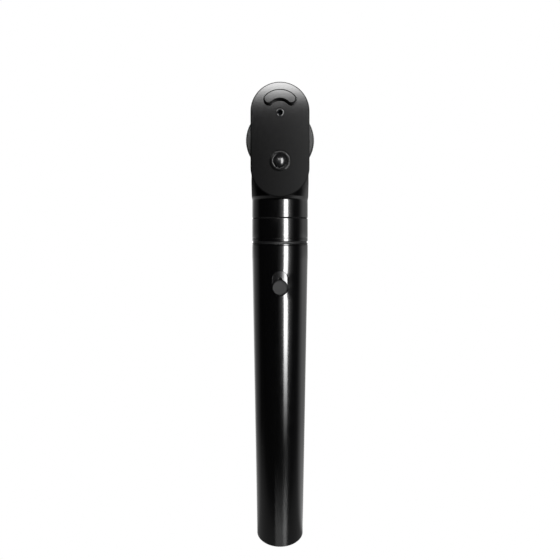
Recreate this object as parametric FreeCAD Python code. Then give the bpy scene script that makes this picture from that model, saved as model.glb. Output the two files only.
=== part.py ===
import FreeCAD, Part
import math
import os

# Pocket ophthalmoscope, millimetres.  +Z up, the examiner's side faces -Y, the patient's side +Y.
# The origin is the centre of the handle's flat end.

V = FreeCAD.Vector
X_AXIS = V(1, 0, 0)
Y_AXIS = V(0, 1, 0)
Z_AXIS = V(0, 0, 1)

# ---- handle and cells ----
HANDLE_END_WALL = 0.95
HANDLE_FLOOR_T = 1.5
HANDLE_EDGE = 0.25
TAPER_BELOW_TOP = 4.8
CELL_D = 14.2
CELL_L = 50.5
CELL_NUB_D = 5.5
CELL_NUB_H = 1.2
CELL_FIT = 0.3
SPRING_CUP_T = 0.5
SPRING_H = 3.5
SPRING_WIRE_D = 0.6
SPIGOT_WALL = 1.35
NUT_WALL = 1.25
SPIGOT_RISE = 6.4
SPIGOT_SEAT = 5.0
THREAD_PITCH = 1.0
THREAD_DEPTH = 0.3
STRIP_W = 2.2
STRIP_T = 0.15
STRIP_GROOVE = 0.2

# ---- slide switch ----
BUTTON_SIDE_GAP = 0.175
SLOT_BELOW_TOP = 8.9
SLOT_DEPTH = 1.1
BUTTON_D = 5.45
BUTTON_PROUD = 0.55
BUTTON_EDGE = 0.35
BUTTON_END_GAP = 0.325
SWITCH_TRAVEL = 2.8
SWITCH_WEB_T = 0.6
SLIDER_T = 0.35
SLIDER_GAP = 0.1
BRIDGE_T = 0.15
STEM_W = 1.8

# ---- neck: trim ring, union nut, stem ----
RING_H = 2.3
RING_GROOVE_H = 1.3
RING_GROOVE_DEPTH = 0.3
NUT_FOOT_GAP = 0.1
NUT_H = 7.1
NUT_HEAD_GAP = 0.2
REGISTER_IN = 0.5
REGISTER_H = 0.6
REGISTER_FIT = 0.08
NUT_LIP_T = 1.2
NUT_FIT = 0.2
STEM_INSIDE_SPIGOT = 1.55
LAMP_BORE_D = 11.0
KEEPER_T = 1.4
AXIAL_GAP = 0.2

# ---- head ----
HEAD_W = 20.2
HEAD_H = 39.4
NECK_H = 6.0
PLATE_ABOVE_NECK = 0.8
PLATE_T = 1.5
PLATE_EDGE = 0.35
FACE_AHEAD_OF_NECK = 2.5
BODY_EDGE_R = 4.0
SHOULDER_R = 0.8
SHOULDER_OUT = 1.1
SHOULDER_SLOPE = 4.0
SHOULDER_STEEP = 1.9
WEB_T = 1.5
COVER_T = 2.0

# ---- lens wheel ----
WHEEL_PROUD = 1.7
WHEEL_T = 2.5
WHEEL_FRONT_GAP = 0.5
WHEEL_BACK_GAP = 0.4
WHEEL_RIM_GAP = 0.4
WHEEL_TEETH = 96
TOOTH_DEPTH = 0.12
WHEEL_EDGE = 0.45
LENS_BELOW_RIM = 2.5
LENS_D = 2.2
LENS_T = 1.1
LENS_COUNT = 20
AXLE_D = 3.0
AXLE_FIT = 0.05
MARK_RING_R = 7.0
BALL_D = 1.2
DETENT_R = 5.4

# ---- face fittings ----
SIGHT_D = 2.3
SIGHT_SINK_D = 2.9
DISPLAY_DROP = 7.4
BEZEL_D = 6.65
BEZEL_BORE_D = 4.8
BEZEL_SKIRT_D = 7.5
BEZEL_SKIRT_SUNK = 0.4
BEZEL_PROUD = 0.4
DOME_H = 1.0
PAD_ARC_R = 5.5
PAD_HALF_W = 1.8
PAD_DRAFT = 0.1
PAD_HALF_ANGLE = 45.0
PAD_PROUD = 1.5
PAD_EDGE = 0.35

# ---- light train and aperture wheel ----
BULB_D = 6.2
CONDENSER_D = 7.2
CARRIER_W = 7.2
CARRIER_BACK_Y = 2.9
PROJECTOR_D = 5.0
MIRROR_T = 0.6
SIGHT_ABOVE_MIRROR = 5.1
APERTURE_R = 4.5
APERTURE_WHEEL_R = 7.3
APERTURE_WHEEL_T = 1.6
APERTURE_BELOW_CENTRE = 10.4
APERTURE_TEETH = 30
WINDOW_R = 2.6
WINDOW_REBATE = 0.7
GLASS_T = 1.0
SCREW_D = 1.6
SCREW_HEAD_D = 2.6

# ---- sizes that follow from the cells, the button and the wheel ----
BORE_R = CELL_D / 2 + CELL_FIT
SPIGOT_R = BORE_R + SPIGOT_WALL
NUT_BORE_R = SPIGOT_R + NUT_FIT
STEM_R = SPIGOT_R - STEM_INSIDE_SPIGOT
HANDLE_TOP_D = 2 * (NUT_BORE_R + NUT_WALL)
HANDLE_END_D = 2 * (BORE_R + HANDLE_END_WALL)
SLOT_W = BUTTON_D + 2 * BUTTON_SIDE_GAP
SLOT_L = BUTTON_D + SWITCH_TRAVEL + 2 * BUTTON_END_GAP
WHEEL_R = HEAD_W / 2 + WHEEL_PROUD
LENS_CIRCLE_R = WHEEL_R - LENS_BELOW_RIM

# ---- heights along the handle ----
CELL_0_Z = HANDLE_FLOOR_T + SPRING_CUP_T + SPRING_H
CELL_1_Z = CELL_0_Z + CELL_L
CELLS_TOP_Z = CELL_1_Z + CELL_L
TUBE_TOP_Z = CELLS_TOP_Z - 0.4
TAPER_TOP_Z = TUBE_TOP_Z - TAPER_BELOW_TOP
RING_TOP_Z = TUBE_TOP_Z + RING_H
SPIGOT_TOP_Z = TUBE_TOP_Z + SPIGOT_RISE
NUT_0_Z = RING_TOP_Z + NUT_FOOT_GAP
NUT_1_Z = NUT_0_Z + NUT_H
NECK_0_Z = NUT_1_Z + NUT_HEAD_GAP
NECK_1_Z = NECK_0_Z + NECK_H
STEM_0_Z = SPIGOT_TOP_Z + AXIAL_GAP
PLATE_0_Z = NECK_1_Z + PLATE_ABOVE_NECK
PLATE_1_Z = PLATE_0_Z + HEAD_H
CENTRE_Z = (PLATE_0_Z + PLATE_1_Z) / 2
SIGHT_Z = CENTRE_Z + LENS_CIRCLE_R
DISPLAY_Z = CENTRE_Z - DISPLAY_DROP
CROWN_Z = PLATE_1_Z - HEAD_W / 2
SLOT_1_Z = TUBE_TOP_Z - SLOT_BELOW_TOP
SLOT_0_Z = SLOT_1_Z - SLOT_L
BUTTON_Z = SLOT_0_Z + BUTTON_END_GAP + BUTTON_D / 2

# ---- depths and inner heights of the head ----
FACE_Y = -HANDLE_TOP_D / 2 - FACE_AHEAD_OF_NECK
PLATE_BACK_Y = FACE_Y + PLATE_T
HEAD_BACK_Y = HANDLE_TOP_D / 2
WHEEL_0_Y = PLATE_BACK_Y + WHEEL_FRONT_GAP
WHEEL_1_Y = WHEEL_0_Y + WHEEL_T
WEB_0_Y = WHEEL_1_Y + WHEEL_BACK_GAP
WEB_1_Y = WEB_0_Y + WEB_T
COVER_0_Y = HEAD_BACK_Y - COVER_T
APERTURE_0_Z = CENTRE_Z - APERTURE_BELOW_CENTRE
APERTURE_1_Z = APERTURE_0_Z + APERTURE_WHEEL_T
CAVITY_0_Z = APERTURE_0_Z - 0.3
CAVITY_1_Z = CROWN_Z + 2.7
CAVITY_HALF_W = APERTURE_WHEEL_R + 0.35
CARRIER_0_Z = APERTURE_1_Z + 0.5
MIRROR_Z = SIGHT_Z - SIGHT_ABOVE_MIRROR
CARRIER_1_Z = MIRROR_Z + 3.1


def handle_radius(z):
    """Outside radius of the handle at height z."""
    if z >= TAPER_TOP_Z:
        return HANDLE_TOP_D / 2
    return HANDLE_END_D / 2 + (HANDLE_TOP_D - HANDLE_END_D) / 2 * z / TAPER_TOP_Z


# ---- shapes used more than once ----
def cyl_z(d, z0, z1, x=0.0, y=0.0):
    return Part.makeCylinder(d / 2, z1 - z0, V(x, y, z0), Z_AXIS)


def cyl_y(d, y0, y1, x=0.0, z=0.0):
    return Part.makeCylinder(d / 2, y1 - y0, V(x, y0, z), Y_AXIS)


def tube_z(d_out, d_in, z0, z1, x=0.0, y=0.0):
    return cyl_z(d_out, z0, z1, x, y).cut(cyl_z(d_in, z0 - 1, z1 + 1, x, y))


def box(x0, x1, y0, y1, z0, z1):
    return Part.makeBox(x1 - x0, y1 - y0, z1 - z0, V(x0, y0, z0))


def turned(points):
    """Solid turned about Z from (radius, z) points."""
    wire = Part.makePolygon([V(r, 0, z) for r, z in points + points[:1]])
    return Part.Face(wire).revolve(V(0, 0, 0), Z_AXIS, 360)


def stadium_y(width, z0, z1, y0, y1):
    """Upright stadium outline of the given width, extruded from y0 to y1."""
    r = width / 2
    slab = box(-r, r, y0, y1, z0 + r, z1 - r)
    slab = slab.fuse(cyl_y(width, y0, y1, 0, z0 + r))
    slab = slab.fuse(cyl_y(width, y0, y1, 0, z1 - r))
    return slab.removeSplitter()


def knurled(radius, depth, teeth, height):
    """Disc on the XY plane with flat-topped teeth round its rim."""
    points = []
    step = 2 * math.pi / teeth
    for i in range(teeth):
        for part, r in ((0.0, radius), (0.4, radius), (0.6, radius - depth), (0.8, radius - depth)):
            a = (i + part) * step
            points.append(V(r * math.cos(a), r * math.sin(a), 0))
    wire = Part.makePolygon(points + points[:1])
    return Part.Face(wire).extrude(V(0, 0, height))


def facing_y(shape, y0, z):
    """Turns a shape built up from the XY plane so that it builds from y0 along +Y, centred at height z."""
    turned_shape = shape.copy()
    turned_shape.rotate(V(0, 0, 0), X_AXIS, -90)
    turned_shape.translate(V(0, y0, z))
    return turned_shape


def coil(radius, z0, z1, turns, wire_d):
    """Coil spring about Z whose wire stays between z0 and z1."""
    height = z1 - z0 - wire_d
    helix = Part.makeLongHelix(height / turns, height, radius)
    start = helix.Edges[0].valueAt(helix.Edges[0].FirstParameter)
    along = helix.Edges[0].tangentAt(helix.Edges[0].FirstParameter)
    profile = Part.Wire([Part.makeCircle(wire_d / 2, start, along)])
    spring = Part.Wire(helix.Edges).makePipeShell([profile], True, True)
    spring.translate(V(0, 0, z0 + wire_d / 2))
    return spring


def bevel_outline(shape, y, width):
    """Bevels at 45 degrees every edge of a shape that lies in the plane Y = y."""
    edges = [e for e in shape.Edges if all(abs(v.Y - y) < 1e-6 for v in e.Vertexes)]
    return shape.makeChamfer(width, edges)


# ---- handle ----
def handle_tube():
    top_r = HANDLE_TOP_D / 2
    end_r = HANDLE_END_D / 2
    body = turned([(0, 0), (end_r - HANDLE_EDGE, 0), (handle_radius(HANDLE_EDGE), HANDLE_EDGE),
                   (top_r, TAPER_TOP_Z), (top_r, TUBE_TOP_Z - HANDLE_EDGE),
                   (top_r - HANDLE_EDGE, TUBE_TOP_Z), (0, TUBE_TOP_Z)])
    body = body.cut(cyl_z(2 * BORE_R, HANDLE_FLOOR_T, TUBE_TOP_Z + 1))
    body = body.cut(cyl_z(2 * SPIGOT_R, TUBE_TOP_Z - SPIGOT_SEAT, TUBE_TOP_Z + 1))
    body = body.cut(strip_groove(HANDLE_FLOOR_T, TUBE_TOP_Z))
    body = body.cut(switch_recess())
    body = body.cut(switch_pocket())
    return body.removeSplitter()


def strip_groove(z0, z1):
    """Groove for the contact strips along the front of the bore."""
    deep = BORE_R + STRIP_GROOVE
    return box(-STRIP_W / 2 - 0.1, STRIP_W / 2 + 0.1, -deep, -BORE_R + 1.5, z0, z1)


def switch_floor_y():
    """Front face of the thin web that the button slides on."""
    return -handle_radius(BUTTON_Z) + SLOT_DEPTH


def switch_recess():
    floor_y = switch_floor_y()
    recess = stadium_y(SLOT_W, SLOT_0_Z, SLOT_1_Z, -HANDLE_TOP_D, floor_y)
    stem_half = STEM_W / 2 + 0.1
    stem_0 = BUTTON_Z - stem_half - 0.15
    stem_1 = BUTTON_Z + SWITCH_TRAVEL + stem_half + 0.15
    return recess.fuse(box(-stem_half, stem_half, floor_y - 0.5, floor_y + SWITCH_WEB_T + 0.5, stem_0, stem_1))


def switch_pocket():
    """Room for the slider plate behind the web, open to the bore."""
    y0 = switch_floor_y() + SWITCH_WEB_T
    return box(-SLOT_W / 2 - 0.2, SLOT_W / 2 + 0.2, y0, -BORE_R + 1.5, SLOT_0_Z - 1.2, SLOT_1_Z + 1.2)


def cell(z0):
    r = CELL_D / 2
    nub_r = CELL_NUB_D / 2
    shoulder = z0 + CELL_L - CELL_NUB_H
    return turned([(0, z0), (r - 0.6, z0), (r, z0 + 0.6), (r, shoulder - 0.6), (r - 0.6, shoulder),
                   (nub_r, shoulder), (nub_r, z0 + CELL_L), (0, z0 + CELL_L)])


def spring_cup():
    z0 = HANDLE_FLOOR_T
    cup = cyl_z(2 * BORE_R - 1.2, z0, z0 + SPRING_CUP_T)
    tongue = box(-STRIP_W / 2, STRIP_W / 2, -BORE_R + 0.1, 0, z0, z0 + SPRING_CUP_T)
    return cup.fuse(tongue).removeSplitter()


def battery_spring():
    z0 = HANDLE_FLOOR_T + SPRING_CUP_T
    return coil(CELL_D / 2 - 2.6, z0, z0 + SPRING_H, 3, SPRING_WIRE_D)


def contact_strip(z0, z1):
    y0 = -BORE_R - STRIP_GROOVE + 0.02
    return box(-STRIP_W / 2, STRIP_W / 2, y0, y0 + STRIP_T, z0, z1)


def contact_strip_lower():
    return contact_strip(HANDLE_FLOOR_T, BUTTON_Z + 0.9)


def contact_strip_upper():
    return contact_strip(BUTTON_Z + 3.0, TUBE_TOP_Z - SPIGOT_SEAT)


def threaded_spigot():
    """Metal mouth of the handle, with the nut's thread drawn as rings."""
    r = SPIGOT_R
    root = r - THREAD_DEPTH
    z0 = TUBE_TOP_Z - SPIGOT_SEAT
    points = [(BORE_R, z0), (r, z0), (r, RING_TOP_Z)]
    z = RING_TOP_Z + 0.3
    while z + THREAD_PITCH < SPIGOT_TOP_Z:
        points += [(root, z), (root, z + 0.2), (r, z + 0.5), (r, z + 0.7)]
        z += THREAD_PITCH
    points += [(root, SPIGOT_TOP_Z - 0.2), (root, SPIGOT_TOP_Z), (BORE_R, SPIGOT_TOP_Z)]
    return turned(points)


def trim_ring():
    r = HANDLE_TOP_D / 2
    z0 = TUBE_TOP_Z
    neck = z0 + RING_GROOVE_H
    waist = r - RING_GROOVE_DEPTH
    return turned([(SPIGOT_R, z0), (waist, z0), (waist, neck - 0.3), (r, neck + 0.1),
                   (r, RING_TOP_Z - 0.1), (r - 0.1, RING_TOP_Z), (SPIGOT_R, RING_TOP_Z)])


# ---- slide switch ----
def switch_button():
    back_y = switch_floor_y() - SLIDER_GAP
    face_y = -handle_radius(BUTTON_Z) - BUTTON_PROUD
    button = cyl_y(BUTTON_D, face_y, back_y, 0, BUTTON_Z)
    button = button.makeChamfer(BUTTON_EDGE, [e for e in button.Edges if abs(e.BoundBox.YMax - face_y) < 1e-6])
    half = STEM_W / 2
    stem_end = switch_floor_y() + SWITCH_WEB_T + SLIDER_GAP
    stem = box(-half, half, back_y - 0.2, stem_end, BUTTON_Z - half, BUTTON_Z + half)
    return button.fuse(stem).removeSplitter()


def slider_plate():
    y0 = switch_floor_y() + SWITCH_WEB_T + SLIDER_GAP
    half = SLOT_W / 2
    return box(-half, half, y0, y0 + SLIDER_T, BUTTON_Z - 3.95, BUTTON_Z + 4.1)


def bridge_contact():
    y0 = switch_floor_y() + SWITCH_WEB_T + SLIDER_GAP + SLIDER_T
    return box(-STRIP_W / 2, STRIP_W / 2, y0, y0 + BRIDGE_T, BUTTON_Z - 2.9, BUTTON_Z + 1.6)


# ---- union nut ----
def union_nut():
    r = HANDLE_TOP_D / 2
    lip_z = NUT_1_Z - NUT_LIP_T
    lip_r = STEM_R + 0.3
    seat_r = r - REGISTER_IN + REGISTER_FIT
    seat_z = NECK_0_Z - REGISTER_H - NUT_HEAD_GAP / 2
    return turned([(NUT_BORE_R, NUT_0_Z), (r - 0.1, NUT_0_Z), (r, NUT_0_Z + 0.1), (r, NUT_1_Z - 0.1),
                   (r - 0.1, NUT_1_Z), (seat_r, NUT_1_Z), (seat_r, seat_z), (lip_r, seat_z), (lip_r, lip_z),
                   (NUT_BORE_R, lip_z)])


# ---- head housing ----
def head_block():
    """Head body: upright block with a half-round crown, flaring out of the round neck."""
    half = HEAD_W / 2
    slab = box(-half, half, PLATE_BACK_Y, HEAD_BACK_Y, NECK_1_Z, CROWN_Z)
    slab = slab.fuse(cyl_y(HEAD_W, PLATE_BACK_Y, HEAD_BACK_Y, 0, CROWN_Z)).removeSplitter()
    for y in (PLATE_BACK_Y, HEAD_BACK_Y):
        rim = [e for e in slab.Edges if abs(e.BoundBox.YMin - y) < 1e-6 and abs(e.BoundBox.YMax - y) < 1e-6
               and e.BoundBox.ZMax > NECK_1_Z + 1]
        slab = slab.makeFillet(BODY_EDGE_R, rim)
    slab = slab.common(flare())
    chamber = stadium_y(HEAD_W, PLATE_0_Z, PLATE_1_Z, PLATE_BACK_Y, PLATE_BACK_Y + BODY_EDGE_R)
    return slab.fuse(chamber)


def flare():
    """Limit for the block: a 45 degree shoulder that leaves the round neck by a small fillet, with a steep middle."""
    r = HANDLE_TOP_D / 2
    z0 = NECK_1_Z
    c = math.cos(math.radians(45))
    half = math.radians(22.5)
    mid = V(r + SHOULDER_R * (1 - math.cos(half)), 0, z0 + SHOULDER_R * math.sin(half))
    end = V(r + SHOULDER_R * (1 - c), 0, z0 + SHOULDER_R * c)
    arc = Part.Arc(V(r, 0, z0), mid, end).toShape()
    steep = V(r + SHOULDER_OUT, 0, end.z + r + SHOULDER_OUT - end.x)
    corner = steep + V(SHOULDER_STEEP, 0, SHOULDER_STEEP * SHOULDER_SLOPE)
    out = 2 * r
    wall = Part.makePolygon([end, steep, corner, corner + V(out, 0, out), V(corner.x + out, 0, PLATE_1_Z + 50),
                             V(0, 0, PLATE_1_Z + 50), V(0, 0, z0), V(r, 0, z0)])
    return Part.Face(Part.Wire([arc] + wall.Edges)).revolve(V(0, 0, 0), Z_AXIS, 360)


def cover_slice():
    """The part of the head that is the patient-side cover."""
    return box(-HEAD_W, HEAD_W, COVER_0_Y, HEAD_BACK_Y + 1, CAVITY_0_Z - 5.2, PLATE_1_Z + 1)


def optics_cavity():
    """Hollow of the head, wide round the aperture wheel and narrow above it."""
    wide = box(-CAVITY_HALF_W, CAVITY_HALF_W, WEB_1_Y, COVER_0_Y + 0.01, CAVITY_0_Z, CENTRE_Z + 3)
    narrow_half = CARRIER_W / 2 + 1.4
    narrow = box(-narrow_half, narrow_half, WEB_1_Y, COVER_0_Y + 0.01, CENTRE_Z, CAVITY_1_Z)
    return wide.fuse(narrow)


def aperture_rim_slot():
    half = APERTURE_WHEEL_R + 0.35
    return box(-half, half, 0, HEAD_BACK_Y + 1, CAVITY_0_Z, APERTURE_1_Z + 0.35)


def cover_screw_places():
    low = CAVITY_0_Z - 2.7
    return [(-4.4, low), (4.4, low), (0.0, CAVITY_1_Z + 2.1)]


def head_housing():
    neck = cyl_z(HANDLE_TOP_D, NECK_0_Z, NECK_1_Z)
    neck = neck.makeChamfer(0.1, [e for e in neck.Edges if abs(e.BoundBox.ZMax - NECK_0_Z) < 1e-6])
    neck = neck.fuse(cyl_z(HANDLE_TOP_D - 2 * REGISTER_IN, NECK_0_Z - REGISTER_H, NECK_0_Z + 0.5))
    body = neck.fuse(head_block()).cut(cover_slice())
    body = body.fuse(cyl_z(2 * STEM_R, STEM_0_Z, NECK_0_Z + 0.5))
    body = body.cut(cyl_z(LAMP_BORE_D, STEM_0_Z - 1, lamp_shelf_z()))
    body = body.cut(cyl_z(CONDENSER_D - 0.8, lamp_shelf_z() - 1, CAVITY_0_Z + 1))
    body = body.cut(cyl_z(CONDENSER_D, condenser_z(), CAVITY_0_Z + 1))
    body = body.cut(cyl_y(2 * (WHEEL_R + WHEEL_RIM_GAP), PLATE_BACK_Y - 1, WEB_0_Y, 0, CENTRE_Z))
    body = body.cut(optics_cavity())
    body = body.cut(cyl_y(2.0, WEB_0_Y - 1, WEB_1_Y + 1, 0, CENTRE_Z))
    body = body.cut(cyl_y(sight_tube_d(), WEB_0_Y - 1, WEB_1_Y + 1, 0, SIGHT_Z))
    body = body.fuse(detent_boss()).cut(cyl_y(BALL_D + 0.1, WEB_0_Y - 1, detent_end_y() - 0.5, DETENT_R, CENTRE_Z))
    body = body.cut(cyl_z(SCREW_D, CAVITY_0_Z - 2.5, CAVITY_0_Z + 1, 0, APERTURE_R))
    for x, z in cover_screw_places():
        body = body.cut(cyl_y(SCREW_D, COVER_0_Y - 4, COVER_0_Y + 1, x, z))
    return body.removeSplitter()


def lamp_shelf_z():
    return NECK_1_Z + 2.7


def condenser_z():
    return CAVITY_0_Z - 2.6


def sight_tube_d():
    return LENS_D + 1.4


def detent_end_y():
    return WEB_1_Y + 3.0


def detent_boss():
    return cyl_y(2 * BALL_D, WEB_1_Y - 0.5, detent_end_y(), DETENT_R, CENTRE_Z)


def keeper_ring():
    """Ring on the stem's end that the union nut pulls down."""
    return tube_z(2 * SPIGOT_R - 0.2, 2 * STEM_R, STEM_0_Z, STEM_0_Z + KEEPER_T)


def rear_cover():
    body = head_block().common(cover_slice())
    body = body.cut(aperture_rim_slot())
    body = body.cut(stadium_y(2 * WINDOW_R, *window_span(0.0), COVER_0_Y - 1, HEAD_BACK_Y + 1))
    body = body.cut(stadium_y(2 * (WINDOW_R + WINDOW_REBATE), *window_span(WINDOW_REBATE), COVER_0_Y - 1,
                              COVER_0_Y + GLASS_T))
    for x, z in cover_screw_places():
        body = body.cut(cyl_y(SCREW_D + 0.1, COVER_0_Y - 1, HEAD_BACK_Y + 1, x, z))
        body = body.cut(cyl_y(SCREW_HEAD_D + 0.1, HEAD_BACK_Y - 0.7, HEAD_BACK_Y + 1, x, z))
    return body.removeSplitter()


def window_span(extra):
    """Bottom and top of the window, which takes in the mirror's beam and the sight line."""
    return MIRROR_Z - WINDOW_R - extra, SIGHT_Z + WINDOW_R - 0.6 + extra


def window_glass():
    r = WINDOW_R + WINDOW_REBATE
    return stadium_y(2 * r, *window_span(WINDOW_REBATE), COVER_0_Y, COVER_0_Y + GLASS_T)


def cover_screws():
    screws = []
    for x, z in cover_screw_places():
        screw = cyl_y(SCREW_HEAD_D, HEAD_BACK_Y - 0.7, HEAD_BACK_Y - 0.05, x, z)
        screw = screw.fuse(cyl_y(SCREW_D, COVER_0_Y - 3.5, HEAD_BACK_Y - 0.5, x, z))
        slot = box(x - 2, x + 2, HEAD_BACK_Y - 0.3, HEAD_BACK_Y + 1, z - 0.2, z + 0.2)
        screws.append(screw.cut(slot).removeSplitter())
    return Part.makeCompound(screws)


# ---- lamp and contacts in the neck ----
def contact_insulator():
    outer = turned([(0, CELLS_TOP_Z + 1.9), (STEM_R - 1.0, CELLS_TOP_Z + 1.9), (STEM_R - 1.0, STEM_0_Z - 0.1),
                    (LAMP_BORE_D / 2, STEM_0_Z), (LAMP_BORE_D / 2, lamp_foot_z()), (0, lamp_foot_z())])
    outer = outer.cut(cyl_z(3.2, CELLS_TOP_Z, CELLS_TOP_Z + 4))
    return outer.cut(cyl_z(5.0, CELLS_TOP_Z + 3.5, lamp_foot_z() + 1))


def lamp_foot_z():
    return NECK_0_Z + 1.2


def contact_plunger():
    z0 = CELLS_TOP_Z + 0.1
    pin = cyl_z(3.0, z0, z0 + 3.6)
    pin = pin.makeFillet(0.5, [e for e in pin.Edges if abs(e.BoundBox.ZMax - z0) < 1e-6])
    return pin.fuse(cyl_z(4.8, CELLS_TOP_Z + 3.5, CELLS_TOP_Z + 4.3)).removeSplitter()


def plunger_spring():
    return coil(1.9, CELLS_TOP_Z + 4.3, lamp_foot_z(), 5, 0.4)


def lamp_sleeve():
    return tube_z(LAMP_BORE_D, BULB_D + 0.6, lamp_foot_z(), lamp_shelf_z())


def lamp_base():
    z0 = lamp_foot_z()
    return cyl_z(BULB_D + 0.6, z0, lamp_shelf_z() - 2.0).fuse(cyl_z(3.0, z0 - 0.4, z0 + 0.1)).removeSplitter()


def lamp_bulb():
    z0 = lamp_shelf_z() - 2.0
    r = BULB_D / 2
    top = condenser_z() - 0.5
    return cyl_z(BULB_D, z0, top - r).fuse(Part.makeSphere(r, V(0, 0, top - r))).removeSplitter().cut(
        cyl_z(BULB_D - 1.0, z0 - 1, top - r))


def lamp_filament():
    z0 = lamp_shelf_z() - 2.0
    posts = [cyl_z(0.3, z0, z0 + 2.6, x, 0) for x in (-1.0, 1.0)]
    bar = Part.makeCylinder(0.2, 2.3, V(-1.15, 0, z0 + 2.5), X_AXIS)
    return posts[0].fuse(posts[1]).fuse(bar).removeSplitter()


# ---- light train ----
def lens_z(d, z0, edge_t, bulge):
    """Plano-convex lens on the Z axis with its dome upward."""
    r = d / 2
    ball_r = (r ** 2 + bulge ** 2) / (2 * bulge)
    ball = Part.makeSphere(ball_r, V(0, 0, z0 + edge_t + bulge - ball_r))
    dome = ball.common(cyl_z(d, z0 + edge_t, z0 + edge_t + bulge + 0.5))
    return cyl_z(d, z0, z0 + edge_t).fuse(dome).removeSplitter()


def condenser_lens():
    return lens_z(CONDENSER_D, condenser_z(), 1.2, 1.0)


def projection_lens():
    return lens_z(PROJECTOR_D, CARRIER_0_Z + 4.0, 0.9, 0.6)


def mirror_slab(lift, thickness):
    """Square plate at 45 degrees, facing down and towards the patient."""
    half = PROJECTOR_D / 2 - 0.2
    slab = box(-half, half, -half * 1.35, half * 1.35, lift, lift + thickness)
    slab.rotate(V(0, 0, 0), X_AXIS, 45)
    slab.translate(V(0, 0, MIRROR_Z))
    return slab


def mirror():
    return mirror_slab(0.0, MIRROR_T)


def optics_carrier():
    half = CARRIER_W / 2
    body = box(-half, half, WEB_1_Y, CARRIER_BACK_Y, CARRIER_0_Z, CARRIER_1_Z)
    body = body.fuse(cyl_z(SCREW_D + 1.6, CARRIER_0_Z, CARRIER_0_Z + 3, 0, APERTURE_R))
    body = body.fuse(box(-SCREW_D, SCREW_D, CARRIER_BACK_Y - 0.3, APERTURE_R, CARRIER_0_Z, CARRIER_0_Z + 3))
    body = body.cut(cyl_z(PROJECTOR_D - 0.8, CARRIER_0_Z - 1, MIRROR_Z - 1))
    body = body.cut(cyl_z(PROJECTOR_D, CARRIER_0_Z + 4.0, MIRROR_Z - 2))
    beam = box(-PROJECTOR_D / 2 + 0.2, PROJECTOR_D / 2 - 0.2, -2.3, CARRIER_BACK_Y + 1, MIRROR_Z - 2.5, CARRIER_1_Z)
    under = box(-10, 10, -20, 20, -20, MIRROR_T)
    under.rotate(V(0, 0, 0), X_AXIS, 45)
    under.translate(V(0, 0, MIRROR_Z))
    body = body.cut(beam.common(under)).cut(mirror())
    body = body.cut(cyl_y(4.6, WEB_1_Y - 1, WEB_1_Y + 1.3, 0, CENTRE_Z))
    body = body.cut(cyl_z(SCREW_D, CARRIER_0_Z - 1, CARRIER_0_Z + 2.5, 0, APERTURE_R))
    return body.removeSplitter()


def sight_tube():
    return cyl_y(sight_tube_d(), WEB_0_Y, COVER_0_Y - 1.5, 0, SIGHT_Z).cut(
        cyl_y(LENS_D, WEB_0_Y - 1, COVER_0_Y, 0, SIGHT_Z))


# ---- front plate and its fittings ----
def front_plate():
    plate = stadium_y(HEAD_W, PLATE_0_Z, PLATE_1_Z, FACE_Y, PLATE_BACK_Y)
    plate = bevel_outline(plate, FACE_Y, PLATE_EDGE)
    plate = plate.cut(cyl_y(SIGHT_D, FACE_Y - 1, PLATE_BACK_Y + 1, 0, SIGHT_Z))
    sink = (SIGHT_SINK_D - SIGHT_D) / 2
    cone = Part.makeCone(SIGHT_SINK_D / 2 + 0.1, SIGHT_D / 2, sink + 0.1, V(0, FACE_Y - 0.1, SIGHT_Z), Y_AXIS)
    plate = plate.cut(cone)
    return plate.cut(cyl_y(BEZEL_SKIRT_D, FACE_Y - 1, PLATE_BACK_Y + 1, 0, DISPLAY_Z))


def pad_outline(y, inset):
    """Kidney outline in the plane Y = y, drawn in by a given amount."""
    half_w = PAD_HALF_W - inset
    r0 = PAD_ARC_R - half_w
    r1 = PAD_ARC_R + half_w
    side = PAD_HALF_ANGLE
    cap = math.degrees(half_w / PAD_ARC_R)

    def at(r, degrees):
        a = math.radians(degrees)
        return V(r * math.sin(a), y, CROWN_Z + r * math.cos(a))

    return Part.Wire([Part.Arc(at(r1, -side), at(r1, 0), at(r1, side)).toShape(),
                      Part.Arc(at(r1, side), at(PAD_ARC_R, side + cap), at(r0, side)).toShape(),
                      Part.Arc(at(r0, side), at(r0, 0), at(r0, -side)).toShape(),
                      Part.Arc(at(r0, -side), at(PAD_ARC_R, -side - cap), at(r1, -side)).toShape()])


def brow_pad():
    """Kidney-shaped cushion round the top of the sight hole, narrower at its face than at its base."""
    pad = Part.makeLoft([pad_outline(FACE_Y, 0.0), pad_outline(FACE_Y - PAD_PROUD, PAD_DRAFT)], True, True)
    return bevel_outline(pad, FACE_Y - PAD_PROUD, PAD_EDGE)


def display_bezel():
    ring = cyl_y(BEZEL_D, FACE_Y - BEZEL_PROUD, FACE_Y + BEZEL_SKIRT_SUNK + 0.1, 0, DISPLAY_Z)
    ring = ring.makeFillet(0.3, [e for e in ring.Edges if abs(e.BoundBox.YMax - FACE_Y + BEZEL_PROUD) < 1e-6])
    skirt = cyl_y(BEZEL_SKIRT_D, FACE_Y + BEZEL_SKIRT_SUNK, PLATE_BACK_Y, 0, DISPLAY_Z)
    bore = cyl_y(BEZEL_BORE_D, FACE_Y - 2, PLATE_BACK_Y + 1, 0, DISPLAY_Z)
    return ring.fuse(skirt).removeSplitter().cut(bore)


def display_lens():
    lens = lens_z(BEZEL_BORE_D, 0.0, PLATE_T + BEZEL_PROUD - 0.3, DOME_H)
    lens.rotate(V(0, 0, 0), X_AXIS, 90)
    lens.translate(V(0, PLATE_BACK_Y, DISPLAY_Z))
    return lens


# ---- lens wheel ----
def lens_places():
    step = 2 * math.pi / LENS_COUNT
    return [(LENS_CIRCLE_R * math.sin(i * step), LENS_CIRCLE_R * math.cos(i * step)) for i in range(LENS_COUNT)]


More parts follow.
